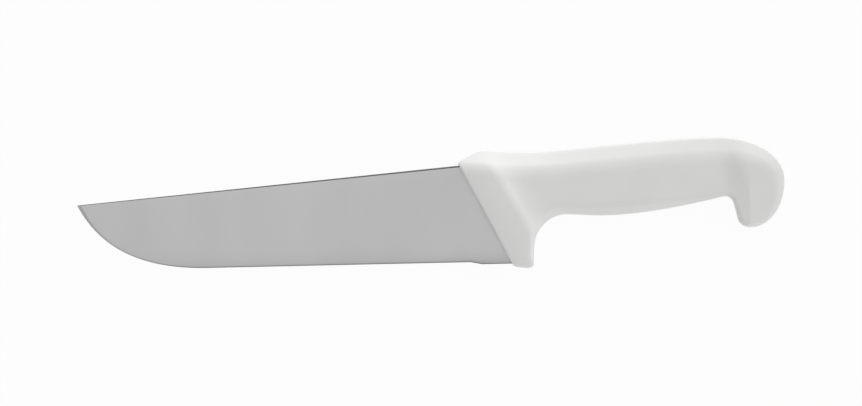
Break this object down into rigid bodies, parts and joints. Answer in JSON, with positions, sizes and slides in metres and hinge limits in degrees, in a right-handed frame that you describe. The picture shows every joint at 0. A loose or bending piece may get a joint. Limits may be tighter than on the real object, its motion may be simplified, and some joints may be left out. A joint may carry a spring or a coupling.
{
  "type": "butcher's carving knife",
  "caption": "Broad straight-backed carving knife with a curved belly, a satin steel blade on a hidden tang, and a moulded white handle with a finger guard and a hooked pommel.",
  "frame": {"origin": "under the middle of the knife's box, on the surface that the knife lies on with its side down", "axes": "+X along the cutting edge from the tip to the butt, +Y from the cutting edge to the spine, +Z square to the blade's middle plane, upwards"},
  "size_m": [0.3264, 0.0584, 0.023],
  "materials": {
    "blade_steel": "satin, belt-polished from spine to edge, with a narrow cutting bevel",
    "handle_plastic": "white injection-moulded polypropylene, fine matt mould texture"
  },
  "bodies": {
    "root": {"blade": "blade_steel", "handle": "handle_plastic"}
  },
  "joints": []
}
